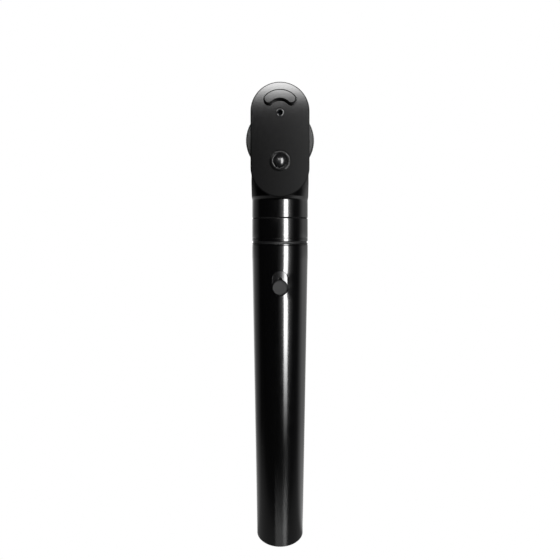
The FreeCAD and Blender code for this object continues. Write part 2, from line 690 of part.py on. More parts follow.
def lens_wheel():
    wheel = knurled(WHEEL_R, TOOTH_DEPTH, WHEEL_TEETH, WHEEL_T)
    wheel = wheel.common(turned([(0, 0), (WHEEL_R - WHEEL_EDGE, 0), (WHEEL_R, WHEEL_EDGE),
                                 (WHEEL_R, WHEEL_T - WHEEL_EDGE), (WHEEL_R - WHEEL_EDGE, WHEEL_T), (0, WHEEL_T)]))
    bores = [cyl_z(AXLE_D + 2 * AXLE_FIT, -1, WHEEL_T + 1)]
    for x, y in lens_places():
        bores.append(cyl_z(LENS_D - 0.4, -1, WHEEL_T + 1, x, y))
        bores.append(cyl_z(LENS_D, 0.6, WHEEL_T + 1, x, y))
    wheel = wheel.cut(Part.makeCompound(bores))
    return facing_y(wheel, WHEEL_0_Y, CENTRE_Z)


def wheel_lenses():
    lenses = [cyl_z(LENS_D, 0.6, 0.6 + LENS_T, x, y) for x, y in lens_places()]
    return facing_y(Part.makeCompound(lenses), WHEEL_0_Y, CENTRE_Z)


def lens_keeper():
    """Thin ring that holds the lenses in the wheel from behind."""
    ring = tube_z(2 * (LENS_CIRCLE_R + 1.6), 2 * (LENS_CIRCLE_R - 1.6), WHEEL_T, WHEEL_T + 0.15)
    holes = [cyl_z(LENS_D - 0.4, 0, WHEEL_T + 1, x, y) for x, y in lens_places()]
    return facing_y(ring.cut(Part.makeCompound(holes)), WHEEL_0_Y, CENTRE_Z)


def power_marks():
    """Raised tick for each lens on the ring that passes under the display."""
    half = math.pi / LENS_COUNT
    ticks = []
    for i in range(LENS_COUNT):
        tall = 0.8 if i % 5 == 0 else 0.5
        tick = box(-0.15, 0.15, MARK_RING_R - tall, MARK_RING_R + tall, -0.1, 0.0)
        tick.rotate(V(0, 0, 0), Z_AXIS, math.degrees(2 * half * i))
        ticks.append(tick)
    return facing_y(Part.makeCompound(ticks), WHEEL_0_Y, CENTRE_Z)


def wheel_axle():
    axle = cyl_y(AXLE_D, PLATE_BACK_Y, WEB_0_Y, 0, CENTRE_Z)
    return axle.fuse(cyl_y(2.0, WEB_0_Y - 0.5, WEB_1_Y + 1.0, 0, CENTRE_Z)).removeSplitter()


def axle_nut():
    wire = Part.makePolygon([V(2.1 * math.cos(math.radians(60 * i)), WEB_1_Y,
                               CENTRE_Z + 2.1 * math.sin(math.radians(60 * i))) for i in range(7)])
    return Part.Face(wire).extrude(V(0, 0.9, 0)).cut(cyl_y(2.0, WEB_1_Y - 1, WEB_1_Y + 3, 0, CENTRE_Z))


def detent_ball():
    return Part.makeSphere(BALL_D / 2, V(DETENT_R, WHEEL_1_Y + 0.25 + BALL_D / 2, CENTRE_Z))


def detent_spring():
    y0 = WHEEL_1_Y + 0.25 + BALL_D
    y1 = detent_end_y() - 0.5
    spring = coil(0.4, 0.0, y1 - y0, 4, 0.25)
    spring.rotate(V(0, 0, 0), X_AXIS, -90)
    spring.translate(V(DETENT_R, y0, CENTRE_Z))
    return spring


# ---- aperture wheel ----
def aperture_wheel():
    z0 = APERTURE_0_Z
    wheel = knurled(APERTURE_WHEEL_R, TOOTH_DEPTH, APERTURE_TEETH, APERTURE_WHEEL_T)
    wheel.translate(V(0, 0, z0))
    cuts = [cyl_z(SCREW_D + 2 * AXLE_FIT, z0 - 1, z0 + 3)]
    for i, d in enumerate((3.0, 1.8, 1.0)):
        x, y = aperture_place(i)
        cuts.append(cyl_z(d, z0 - 1, z0 + 3, x, y))
    x, y = aperture_place(3)
    cuts.append(cyl_z(3.0, z0 - 1, z0 + 3, x, y).common(box(x, x + 5, y - 5, y + 5, z0 - 1, z0 + 3)))
    x, y = aperture_place(4)
    cuts.append(cyl_z(3.0, z0 + 0.5, z0 + 3, x, y))
    cuts.append(cyl_z(2.6, z0 - 1, z0 + 3, x, y))
    wheel = wheel.cut(Part.makeCompound(cuts))
    wheel.translate(V(0, APERTURE_R, 0))
    return wheel


def aperture_place(i):
    """Centre of aperture i on the wheel; aperture 0 stands in the light path."""
    a = math.radians(-90 + 72 * i)
    return APERTURE_R * math.cos(a), APERTURE_R * math.sin(a)


def filter_glass():
    x, y = aperture_place(4)
    return cyl_z(3.0, APERTURE_0_Z + 0.5, APERTURE_0_Z + 1.4, x, y + APERTURE_R)


def aperture_pin():
    return cyl_z(SCREW_D, CAVITY_0_Z - 2.5, CARRIER_0_Z + 2.5, 0, APERTURE_R)


PIECES = {
    "handle_tube": handle_tube,
    "spring_cup": spring_cup,
    "battery_spring": battery_spring,
    "battery_lower": lambda: cell(CELL_0_Z),
    "battery_upper": lambda: cell(CELL_1_Z),
    "contact_strip_lower": contact_strip_lower,
    "contact_strip_upper": contact_strip_upper,
    "threaded_spigot": threaded_spigot,
    "trim_ring": trim_ring,
    "switch_button": switch_button,
    "slider_plate": slider_plate,
    "bridge_contact": bridge_contact,
    "union_nut": union_nut,
    "head_housing": head_housing,
    "keeper_ring": keeper_ring,
    "rear_cover": rear_cover,
    "window_glass": window_glass,
    "cover_screws": cover_screws,
    "contact_insulator": contact_insulator,
    "contact_plunger": contact_plunger,
    "plunger_spring": plunger_spring,
    "lamp_sleeve": lamp_sleeve,
    "lamp_base": lamp_base,
    "lamp_bulb": lamp_bulb,
    "lamp_filament": lamp_filament,
    "condenser_lens": condenser_lens,
    "projection_lens": projection_lens,
    "optics_carrier": optics_carrier,
    "mirror": mirror,
    "sight_tube": sight_tube,
    "front_plate": front_plate,
    "brow_pad": brow_pad,
    "display_bezel": display_bezel,
    "display_lens": display_lens,
    "lens_wheel": lens_wheel,
    "wheel_lenses": wheel_lenses,
    "lens_keeper": lens_keeper,
    "power_marks": power_marks,
    "wheel_axle": wheel_axle,
    "axle_nut": axle_nut,
    "detent_ball": detent_ball,
    "detent_spring": detent_spring,
    "aperture_wheel": aperture_wheel,
    "filter_glass": filter_glass,
    "aperture_pin": aperture_pin,
}

os.makedirs("parts", exist_ok=True)
for name, make in PIECES.items():
    make().exportStep("parts/" + name + ".step")
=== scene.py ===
"""Looks of a pocket ophthalmoscope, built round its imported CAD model.

Lengths are in metres in the CAD frame: +Z up the handle, -Y the examiner's side, origin at the handle's flat end.
Each piece, or group of like pieces, is made by one operator. The panel in the 3D view's sidebar lists them in order.
"""

import math

import bpy
import numpy as np
from bpy.props import FloatProperty, FloatVectorProperty, IntProperty, PointerProperty
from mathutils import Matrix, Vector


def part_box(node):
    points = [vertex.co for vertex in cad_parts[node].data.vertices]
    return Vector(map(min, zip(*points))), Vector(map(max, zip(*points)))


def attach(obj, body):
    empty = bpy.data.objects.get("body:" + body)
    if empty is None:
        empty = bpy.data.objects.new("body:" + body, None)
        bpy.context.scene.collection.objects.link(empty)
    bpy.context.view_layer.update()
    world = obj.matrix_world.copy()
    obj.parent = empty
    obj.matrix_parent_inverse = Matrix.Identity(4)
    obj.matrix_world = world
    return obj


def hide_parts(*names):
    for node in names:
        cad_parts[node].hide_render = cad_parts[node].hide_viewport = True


bl_info = {
    "name": "Pocket ophthalmoscope",
    "version": (1, 0, 0),
    "blender": (4, 5, 0),
    "location": "View3D > Sidebar > Ophthalmoscope",
    "description": "Builds the looks of a pocket ophthalmoscope round its CAD model",
    "category": "Object",
}

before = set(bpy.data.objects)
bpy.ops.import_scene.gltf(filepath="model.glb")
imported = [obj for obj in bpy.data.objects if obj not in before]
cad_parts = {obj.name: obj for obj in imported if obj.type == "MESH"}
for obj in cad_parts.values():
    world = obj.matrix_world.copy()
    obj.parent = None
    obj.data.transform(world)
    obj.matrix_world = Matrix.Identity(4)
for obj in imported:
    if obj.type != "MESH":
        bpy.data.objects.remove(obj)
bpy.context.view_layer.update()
MM = 0.001
TIGHT = 0.03 * MM      # the least rounding left on a turned edge
MERGE = 0.0001 * MM    # points nearer than this are one point
COLLAR_SEGMENTS = 192
FACE_SEGMENTS = 144    # round pieces on the front plate
CAP_SEGMENTS = 240     # the button, fine enough for its hatching


# ---------------------------------------------------------------- surfaces

def unit(vectors):
    """Each row divided by its length."""
    return vectors / np.linalg.norm(vectors, axis=-1, keepdims=True)


def rounded(points, radii, steps=6):
    """A closed outline of straight runs with every corner turned on an arc.

    At each corner the arc starts radius / tan(half angle) before the corner and ends as far after it; its points
    swing evenly from the first contact to the last round the arc's centre.
    """
    corner = np.asarray(points, float)
    radius = np.asarray(radii, float)[:, None]
    back = unit(np.roll(corner, 1, 0) - corner)
    ahead = unit(np.roll(corner, -1, 0) - corner)
    half = np.arccos(np.clip((back * ahead).sum(1, keepdims=True), -1, 1)) / 2
    centre = corner + unit(back + ahead) * radius / np.sin(half)
    first = corner + back * radius / np.tan(half) - centre
    last = corner + ahead * radius / np.tan(half) - centre
    swing = (math.pi - 2 * half)[:, None]
    share = np.linspace(0, 1, steps)[None, :, None]
    arc = (np.sin((1 - share) * swing) * first[:, None] + np.sin(share * swing) * last[:, None]) / np.sin(swing)
    return (centre[:, None] + arc).reshape(-1, 2)


def turned(outline, segments, axis, centre):
    """An outline of (radius, place along the axis) points carried round an axis, as rows of points.

    Each row is one outline point: (radius cos a, radius sin a) for angles a evenly round the circle.
    """
    angle = np.linspace(0, 2 * math.pi, segments, endpoint=False)
    radius, along = outline[:, 0, None], outline[:, 1, None] + 0 * angle
    across, up = radius * np.cos(angle), radius * np.sin(angle)
    rows = (across, up, along) if axis == "Z" else (across, along, up)
    return np.stack(rows, -1) + np.asarray(centre, float)


def skinned(name, rows, ring=False):
    """A closed object over rows of points, each row a loop; with ring the last row joins the first.

    Neighbouring rows are joined by triangles, points at the same place are made one, and triangles that this leaves
    without area are dropped, so rows that shrink to a line or a point close by themselves.
    """
    count, width = rows.shape[:2]
    index = np.arange(count * width).reshape(count, width)
    here, after = (index, np.roll(index, -1, 0)) if ring else (index[:-1], index[1:])
    a, b, c, d = here, np.roll(here, -1, 1), np.roll(after, -1, 1), after
    triangles = np.concatenate([np.stack([a, b, c], -1).reshape(-1, 3), np.stack([a, c, d], -1).reshape(-1, 3)])
    points = rows.reshape(-1, 3)
    first, merged = np.unique(np.round(points / MERGE).astype(np.int64), axis=0, return_index=True,
                              return_inverse=True)[1:]
    triangles = merged.ravel()[triangles]
    a, b, c = triangles.T
    triangles = triangles[(a != b) & (b != c) & (c != a)]
    points = points[first]
    a, b, c = points[triangles].transpose(1, 0, 2)
    if (a * np.cross(b, c)).sum() < 0:
        triangles = triangles[:, ::-1]
    return mesh_object(name, points, triangles)


def mesh_object(name, points, faces):
    """A smooth-shaded object from points and equal-sided faces."""
    mesh = bpy.data.meshes.new(name)
    mesh.vertices.add(len(points))
    mesh.vertices.foreach_set("co", points.astype(np.float32).ravel())
    mesh.loops.add(faces.size)
    mesh.loops.foreach_set("vertex_index", faces.astype(np.int32).ravel())
    mesh.polygons.add(len(faces))
    mesh.polygons.foreach_set("loop_start", np.arange(0, faces.size, faces.shape[1], dtype=np.int32))
    mesh.polygons.foreach_set("use_smooth", np.ones(len(faces), bool))
    mesh.update(calc_edges=True)
    mesh.validate()
    piece = bpy.data.objects.new(name, mesh)
    bpy.context.scene.collection.objects.link(piece)
    return piece


# ---------------------------------------------------------------- materials

def node(tree, kind, inputs=(), **settings):
    """A node with its settings made and its inputs filled, by value or by link."""
    made = tree.nodes.new(kind)
    for key, value in settings.items():
        setattr(made, key, value)
    for key, value in dict(inputs).items():
        if isinstance(value, bpy.types.NodeSocket):
            tree.links.new(value, made.inputs[key])
        else:
            made.inputs[key].default_value = value
    return made


def maths(tree, operation, *values):
    """The result of a Math node."""
    return node(tree, "ShaderNodeMath", dict(enumerate(values)), operation=operation).outputs[0]


def ranged(tree, value, start, end, low, high, kind="LINEAR"):
    """A value carried from one range to another and held at its ends."""
    inputs = {"Value": value, "From Min": start, "From Max": end, "To Min": low, "To Max": high}
    return node(tree, "ShaderNodeMapRange", inputs, interpolation_type=kind).outputs["Result"]


class Finish:
    """A Principled material whose patterns lie on the object's own coordinates."""

    def __init__(self, name, base, roughness, metallic=0.0, specular=0.5, ior=1.5, alpha=1.0):
        self.material = bpy.data.materials.new(name)
        self.material.use_nodes = True
        self.tree = self.material.node_tree
        self.shader = self.tree.nodes["Principled BSDF"]
        self.base = tuple(base)
        values = {"Base Color": (*base, 1.0), "Roughness": roughness, "Metallic": metallic, "Alpha": alpha,
                  "Specular IOR Level": specular, "IOR": ior}
        for socket, value in values.items():
            self.shader.inputs[socket].default_value = value
        self.place = node(self.tree, "ShaderNodeTexCoord").outputs["Object"]
        self.normal = None

    def noise(self, scale, detail=3.0, stretch=(1, 1, 1)):
        """Noise on the object's coordinates, with each axis stretched by itself."""
        where = node(self.tree, "ShaderNodeMapping", {"Vector": self.place, "Scale": stretch}).outputs["Vector"]
        inputs = {"Vector": where, "Scale": scale, "Detail": detail}
        return node(self.tree, "ShaderNodeTexNoise", inputs).outputs["Fac"]

    def mottle(self, scale, share, stretch=(1, 1, 1)):
        """The base colour lightened and darkened by a share of itself."""
        dark, light = ((*(min(1.0, c * (1 + way * share)) for c in self.base), 1.0) for way in (-1, 1))
        factor = ranged(self.tree, self.noise(scale, 3.0, stretch), 0.3, 0.7, 0, 1)
        mix = node(self.tree, "ShaderNodeMix", {0: factor, 6: dark, 7: light}, data_type="RGBA")
        self.tree.links.new(mix.outputs[2], self.shader.inputs["Base Color"])
        return self

    def patchy(self, scale, low, high, stretch=(1, 1, 1)):
        """Roughness that drifts between two values, as handling leaves it."""
        level = ranged(self.tree, self.noise(scale, 4.0, stretch), 0.3, 0.7, low, high)
        self.tree.links.new(level, self.shader.inputs["Roughness"])
        return self

    def grain(self, scale, depth, stretch=(1, 1, 1)):
        """A bump of the given depth; calls add on to one another."""
        inputs = {"Height": self.noise(scale, 2.0, stretch), "Distance": depth, "Strength": 1.0}
        if self.normal is not None:
            inputs["Normal"] = self.normal
        self.normal = node(self.tree, "ShaderNodeBump", inputs).outputs["Normal"]
        self.tree.links.new(self.normal, self.shader.inputs["Normal"])
        return self


def gloss_black(settings):
    """Black lacquer: a trace of ripple, fine dust and hairline rubbing."""
    rough = settings.lacquer_roughness
    finish = Finish("lacquer_black", settings.lacquer, rough)
    finish.patchy(900, rough * 0.88, rough * 1.15, (1, 1, 0.25))
    return finish.grain(450, 0.0012 * MM).mottle(1600, 0.25)


def satin_black(settings, name="satin_black"):
    """Fine satin black paint with its close grain."""
    rough = settings.paint_roughness
    finish = Finish(name, settings.paint, rough, specular=0.6)
    finish.patchy(700, rough * 0.93, rough * 1.08)
    return finish.grain(3500, 0.0015 * MM).mottle(2500, 0.18)


def moulded(name, colour, roughness, grain=0.004 * MM, specular=0.5):
    """Moulded plastic with a spark-eroded grain."""
    finish = Finish(name, colour, roughness, specular=specular)
    return finish.patchy(1200, roughness * 0.9, roughness * 1.1).grain(5000, grain).mottle(1800, 0.15)


def metal(name, colour, roughness, stretch=(1, 1, 1)):
    """Plated or drawn metal; stretch draws the marks out along the turning or drawing."""
    finish = Finish(name, colour, roughness, metallic=1.0)
    finish.patchy(2500, roughness * 0.7, roughness * 1.5, stretch)
    return finish.grain(4000, 0.0015 * MM, stretch).mottle(600, 0.08)


def glass(name, colour, alpha, roughness=0.03, specular=0.5):
    """Thin coated glass, seen mostly by its reflections, with faint smears."""
    finish = Finish(name, colour, roughness, specular=specular, ior=1.52, alpha=alpha)
    return finish.patchy(400, roughness * 0.8, roughness * 1.4).mottle(500, 0.05)


def dress(nodes, finish):
    """Gives every CAD node in a list one finish."""
    for name in nodes:
        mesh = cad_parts[name].data
        mesh.materials.clear()
        mesh.materials.append(finish.material)


def place(piece, body, slot, finish, *nodes):
    """Puts a finished piece on its body and in the place of its CAD nodes."""
    piece.data.materials.append(finish.material)
    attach(piece, body)
    if nodes:
        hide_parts(*nodes)
    return piece


# ---------------------------------------------------------------- settings

def length(name, description, default, low, high):
    """A length property; default and limits are given in millimetres."""
    return FloatProperty(name=name, description=description, default=default * MM, min=low * MM, max=high * MM,
                         unit="LENGTH", precision=5)


def colour(name, description, default):
    """A colour property."""
    return FloatVectorProperty(name=name, description=description, size=3, subtype="COLOR", default=default,
                               min=0, max=1)


class ScopeSettings(bpy.types.PropertyGroup):
    """Sizes and colours of the ophthalmoscope's visible pieces"""

    lacquer: colour("Lacquer", "Colour of the handle, collar and housing", (0.0006, 0.0006, 0.00065))
    lacquer_roughness: FloatProperty(name="Lacquer roughness", description="Roughness of the lacquer", default=0.14,
                                     min=0, max=1, subtype="FACTOR")
    paint: colour("Paint", "Colour of the front plate and the cover", (0.0008, 0.0008, 0.00085))
    paint_roughness: FloatProperty(name="Paint roughness", description="Roughness of the satin paint", default=0.09,
                                   min=0, max=1, subtype="FACTOR")
    wheel: colour("Wheel", "Colour of the two wheels", (0.002, 0.002, 0.0021))
    switch: colour("Switch", "Colour of the switch button", (0.0035, 0.0035, 0.0036))
    groove_depth: length("Groove depth", "Depth of the channel round the trim ring", 0.3, 0, 1)
    collar_edge: length("Collar edge", "Radius on the edges of the collar's rings", 0.04, 0.02, 0.5)
    seam: length("Collar seam", "Height of the dark seam over the nut", 0.2, 0.02, 0.4)
    keeper_hold: length("Keeper hold", "How far the nut's lip reaches in over the keeper ring", 1.1, 0.3, 2)
    stem_width: length("Stem width", "Width of the square stem under the cap", 0.8, 0.4, 1.8)
    switch_travel: length("Switch travel", "How far the button slides", 2.8, 1, 5)
    liner_rise: length("Liner rise", "How far the recess liner bulges in its middle", 0.42, 0.1, 0.6)
    hatch_pitch: length("Hatch pitch", "Distance between the ridges on the button", 0.6, 0.2, 2)
    hatch_depth: length("Hatch depth", "Depth of the ridges on the button", 0.07, 0, 0.3)
    cap_thickness: length("Cap thickness", "Thickness of the button's cap", 1.0, 0.5, 1.5)
    button_edge: length("Button edge", "Bevel round the button's face", 0.35, 0.05, 1)
    pad_width: length("Pad width", "Width of the brow pad across its base", 3.6, 2, 5)
    pad_draft: length("Pad draft", "How far the pad's wall leans in from base to face", 0.1, 0, 0.8)
    pad_edge: length("Pad bevel", "Width of the bevel round the pad's face", 0.35, 0.05, 0.8)
    lip_radius: length("Sight lip", "Rounding of the lower lip of the sight hole", 0.4, 0.1, 0.8)
    lip_reach: length("Sight lip reach", "How far the lip stands inside the plate's hole", 0.12, 0.05, 0.5)
    bezel_ring: length("Bezel ring", "Outside radius of the display's raised ring", 3.325, 2.6, 3.7)
    bezel_edge: length("Bezel edge", "Rounding of the display's raised ring", 0.15, 0.05, 0.45)
    dome_rise: length("Dome rise", "Height of the display lens's dome", 1.0, 0.2, 1.5)
    digit_height: length("Digit height", "Height of the numbers on the lens wheel", 1.1, 0.3, 3)
    lens_count: IntProperty(name="Lens places", description="Numbered places round the lens wheel", default=20,
                            min=4, max=40)
    strip_radiance: FloatProperty(name="Strip light", description="Radiance of the tall strip light, W/(m2 sr)",
                                  default=27.0, min=0, max=500)
    glow_radiance: FloatProperty(name="Strip glow", description="Radiance of the glow beside the strip, W/(m2 sr)",
                                 default=3.0, min=0, max=500)
    overhead_radiance: FloatProperty(name="Overhead light", default=19.5, min=0, max=500,
                                     description="Radiance of the soft overhead light, W/(m2 sr)")


# ---------------------------------------------------------------- operators

class SCOPE_OT_lacquered(bpy.types.Operator):
    """Gloss black lacquer on the handle tube, the head housing and the slider behind the switch"""

    bl_idname = "scope.lacquered"
    bl_label = "Handle and housing"
    bl_options = {"REGISTER", "UNDO"}

    def execute(self, context):
        dress(["handle_tube", "head_housing", "slider_plate"], gloss_black(context.scene.scope))
        return {"FINISHED"}


class SCOPE_OT_painted(bpy.types.Operator):
    """Satin black paint on the front plate and the patient-side cover, and the cover's blackened screws"""

    bl_idname = "scope.painted"
    bl_label = "Front plate and cover"
    bl_options = {"REGISTER", "UNDO"}

    def execute(self, context):
        dress(["front_plate", "rear_cover"], satin_black(context.scene.scope))
        dress(["cover_screws"], metal("black_oxide", (0.03, 0.03, 0.031), 0.3))
        return {"FINISHED"}


class SCOPE_OT_plastics(bpy.types.Operator):
    """Black plastic of the wheels and the optics' mounts, the pale insulator and the cells' jackets"""

    bl_idname = "scope.plastics"
    bl_label = "Wheels and mouldings"
    bl_options = {"REGISTER", "UNDO"}

    def execute(self, context):
        dress(["lens_wheel", "aperture_wheel"], moulded("wheel_black", context.scene.scope.wheel, 0.2))
        dress(["lens_keeper", "optics_carrier", "sight_tube"],
              moulded("inner_black", (0.008, 0.008, 0.008), 0.6))
        dress(["contact_insulator"], moulded("insulator_white", (0.72, 0.7, 0.65), 0.45))
        dress(["battery_lower", "battery_upper"], moulded("cell_jacket", (0.05, 0.12, 0.28), 0.3, 0.001 * MM))
        return {"FINISHED"}


class SCOPE_OT_metals(bpy.types.Operator):
    """Bright metal of the contacts, springs, spigot and lamp"""

    bl_idname = "scope.metals"
    bl_label = "Metal parts"
    bl_options = {"REGISTER", "UNDO"}

    def execute(self, context):
        dress(["threaded_spigot", "keeper_ring", "lamp_base", "wheel_axle", "axle_nut", "aperture_pin"],
              metal("nickel_plate", (0.66, 0.64, 0.6), 0.16, (1, 1, 6)))
        dress(["battery_spring", "plunger_spring", "detent_spring", "detent_ball"],
              metal("spring_wire", (0.55, 0.55, 0.56), 0.25))
        dress(["spring_cup", "bridge_contact", "contact_strip_lower", "contact_strip_upper", "contact_plunger",
               "lamp_sleeve"], metal("contact_brass", (0.78, 0.6, 0.3), 0.22, (1, 1, 0.1)))
        dress(["lamp_filament"], metal("filament_wire", (0.35, 0.34, 0.32), 0.4))
        return {"FINISHED"}


class SCOPE_OT_glasses(bpy.types.Operator):
    """Coated glass of the window, lenses and lamp, the green filter and the mirror"""

    bl_idname = "scope.glasses"
    bl_label = "Glass"
    bl_options = {"REGISTER", "UNDO"}

    def execute(self, context):
        dress(["window_glass", "condenser_lens", "projection_lens", "wheel_lenses"],
              glass("clear_glass", (0.01, 0.012, 0.016), 0.25))
        dress(["lamp_bulb"], glass("lamp_glass", (0.3, 0.3, 0.29), 0.3))
        dress(["filter_glass"], glass("green_glass", (0.05, 0.45, 0.12), 0.6))
        dress(["mirror"], metal("mirror_silver", (0.9, 0.9, 0.9), 0.03))
        return {"FINISHED"}


class SCOPE_OT_collar(bpy.types.Operator):
    """Trim ring and union nut, turned with softly broken edges"""

    bl_idname = "scope.collar"
    bl_label = "Collar"
    bl_options = {"REGISTER", "UNDO"}

    def execute(self, context):
        settings = context.scene.scope
        finish = gloss_black(settings)
        rubber = moulded("seal_black", settings.wheel, 0.45, specular=0.25)
        felt = Finish("felt_black", settings.paint, 0.95, specular=0.1).mottle(2500, 0.3)
        edge, tight = settings.collar_edge, TIGHT
        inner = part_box("threaded_spigot")[1].x
        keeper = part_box("keeper_ring")[1].x
        low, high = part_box("trim_ring")
        nut_low, nut_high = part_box("union_nut")
        radius, channel = high.x, low.z + 1.3 * MM
        # trim ring: plain bands above and below a turned channel
        foot, floor_z = radius - settings.groove_depth - 0.1 * MM, low.z + 0.25 * MM
        band = rounded([(inner, low.z), (radius, low.z), (radius, floor_z), (foot, floor_z), (foot, channel),
                        (radius, channel), (radius, high.z), (inner, high.z)],
                       [tight, edge, edge, tight, tight, edge, edge, tight])
        # seal: fills the channel with a face hollowed to an arc,
        # radius (half height squared + depth squared) / (2 depth)
        half, depth = (channel - floor_z) / 2 - tight, settings.groove_depth
        ball = (half ** 2 + depth ** 2) / (2 * depth)
        swing = np.linspace(-1, 1, 17) * math.asin(half / ball)
        hollow = np.stack([radius - tight - depth + ball - ball * np.cos(swing),
                           (floor_z + channel) / 2 + ball * np.sin(swing)], -1)
        seal_back = foot - 0.1 * MM
        seal = np.vstack([[(seal_back, floor_z + tight)], hollow, [(seal_back, channel - tight)]])
        # washer: a matt ring that darkens the seam between the nut and the head
        washer_rim = radius - 0.25 * MM
        washer_low, washer_high = nut_high.z - 0.5 * MM, nut_high.z + 0.2 * MM
        washer = rounded([(keeper, washer_low), (washer_rim, washer_low), (washer_rim, washer_high),
                          (keeper, washer_high)], [tight] * 4)
        # nut: its lip holds the keeper ring from above, its bore clears the thread
        bore, lip, top = inner + 0.2 * MM, keeper - settings.keeper_hold, nut_high.z - settings.seam
        lip_z = nut_high.z - 1.2 * MM
        nut = rounded([(bore, nut_low.z), (radius, nut_low.z), (radius, top), (lip, top), (lip, lip_z),
                       (bore, lip_z)], [tight, edge, edge, tight, tight, tight])
        for name, outline, body, look, nodes in (
                ("trim_ring_band", band, "handle", finish, ["trim_ring"]),
                ("trim_ring_seal", seal, "handle", rubber, []),
                ("union_nut_washer", washer, "head", felt, []),
                ("union_nut_turned", nut, "nut", finish, ["union_nut"])):
            piece = skinned(name, turned(outline, COLLAR_SEGMENTS, "Z", (0, 0, 0)), ring=True)
            place(piece, body, "gloss_black" if look is finish else "inner_black", look, *nodes)
        return {"FINISHED"}


class SCOPE_OT_button(bpy.types.Operator):
    """Switch button with a cross-hatched face, a bevelled edge and the stem that works the contact"""

    bl_idname = "scope.button"
    bl_label = "Switch button"
    bl_options = {"REGISTER", "UNDO"}

    def execute(self, context):
        settings = context.scene.scope
        low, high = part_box("switch_button")
        radius, bevel = high.x, settings.button_edge
        centre_z = low.z + radius
        face = low.y
        back = face + settings.cap_thickness
        inward = np.linspace(radius - bevel - 0.03 * MM, 0, 44)
        # profile from the back's middle round the rim to the face's middle
        flat = np.stack([inward, np.full_like(inward, face)], -1)
        outline = np.vstack([rounded_rim(radius, back, face, bevel), flat])
        rows = turned(outline, CAP_SEGMENTS, "Y", (0, 0, centre_z))
        # hatching: two families of V grooves at 45 degrees, cut into the face and faded out towards its edge
        x, z = rows[..., 0], rows[..., 2] - centre_z
        pitch = settings.hatch_pitch * math.sqrt(2)
        groove = sum(np.abs(((x + side * z) / pitch) % 1 - 0.5) for side in (1, -1))
        fade = np.clip((radius - bevel - np.hypot(x, z)) / (0.25 * MM), 0, 1)
        rows[..., 1] += (rows[..., 1] < face + 1e-9) * settings.hatch_depth * groove * fade
        finish = moulded("switch_grey", settings.switch, 0.5, specular=0.16)
        button = skinned("switch_button_cap", rows)
        place(button, "switch", "switch_grey", finish, "switch_button")
        # stem: a square post from the cap's back to the slider
        half = settings.stem_width / 2
        square = np.array([(-half, -half), (half, -half), (half, half), (-half, half)])
        post_y = np.array([back + 0.01 * MM, back, high.y, high.y])
        size = np.array([0.0, 1.0, 1.0, 0.0])
        rows = np.stack([square[None, :, 0] * size[:, None], post_y[:, None] + 0 * square[None, :, 0],
                         centre_z + square[None, :, 1] * size[:, None]], -1)
        stem = skinned("switch_stem", rows)
        stem.data.polygons.foreach_set("use_smooth", np.zeros(len(stem.data.polygons), bool))
        place(stem, "switch", "switch_grey", finish)
        return {"FINISHED"}


def rounded_rim(radius, back, face, bevel):
    """Half outline of a disc from its back's middle to its bevelled face: a short back radius, then the bevel.

    The bevel's two corners are arcs of a fifth of the bevel's width.
    """
    steps = 4
    whole = rounded([(-radius, back), (radius, back), (radius, face + bevel), (radius - bevel, face),
                     (-radius + bevel, face), (-radius, face + bevel)], [bevel / 5] * 6, steps)
    return np.vstack([[(0, back)], whole[steps:4 * steps]])


class SCOPE_OT_recess(bpy.types.Operator):
    """Matt liner in the switch recess, curved like the handle, with the slot for the stem"""

    bl_idname = "scope.recess"
    bl_label = "Switch recess"
    bl_options = {"REGISTER", "UNDO"}

    def execute(self, context):
        settings = context.scene.scope
        low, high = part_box("switch_button")
        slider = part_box("slider_plate")
        start, travel = low.z + high.x, settings.switch_travel
        floor_y = slider[0].y - 0.7 * MM
        # two loops of the same count: round the slot, and round the recess's wall
        cap = np.linspace(0, math.pi, 41)
        turn = np.concatenate([cap, cap + math.pi])
        upper = np.repeat([1.0, -1.0], len(cap))
        slot = settings.stem_width / 2 + 0.1 * MM
        wall = high.x + 0.14 * MM
        middle, stretch, wall_play = start + travel / 2, travel / 2, 0.19 * MM
        loops = [np.stack([radius * np.cos(turn), middle + upper * (stretch + extra) + radius * np.sin(turn)], -1)
                 for radius, extra in ((slot, 0.0), (wall, wall_play))]
        share = np.linspace(0, 1, 12)[:, None, None]
        plan = loops[0] * (1 - share) + loops[1] * share
        # front: part of a cylinder about the handle's axis, its radius set so that it meets the floor at the wall
        radius = (wall ** 2 + settings.liner_rise ** 2) / (2 * settings.liner_rise)
        front = floor_y - settings.liner_rise + radius - np.sqrt(radius ** 2 - plan[..., 0] ** 2)
        surface = np.stack([plan[..., 0], front, plan[..., 1]], -1)
        under = surface.copy()
        under[..., 1] = np.maximum(front, floor_y - 0.02 * MM)
        rows = np.concatenate([surface, under[::-1]])
        liner = skinned("switch_recess_liner", rows, ring=True)
        place(liner, "handle", "inner_black", moulded("liner_black", settings.wheel, 0.22, 0.001 * MM))
        return {"FINISHED"}


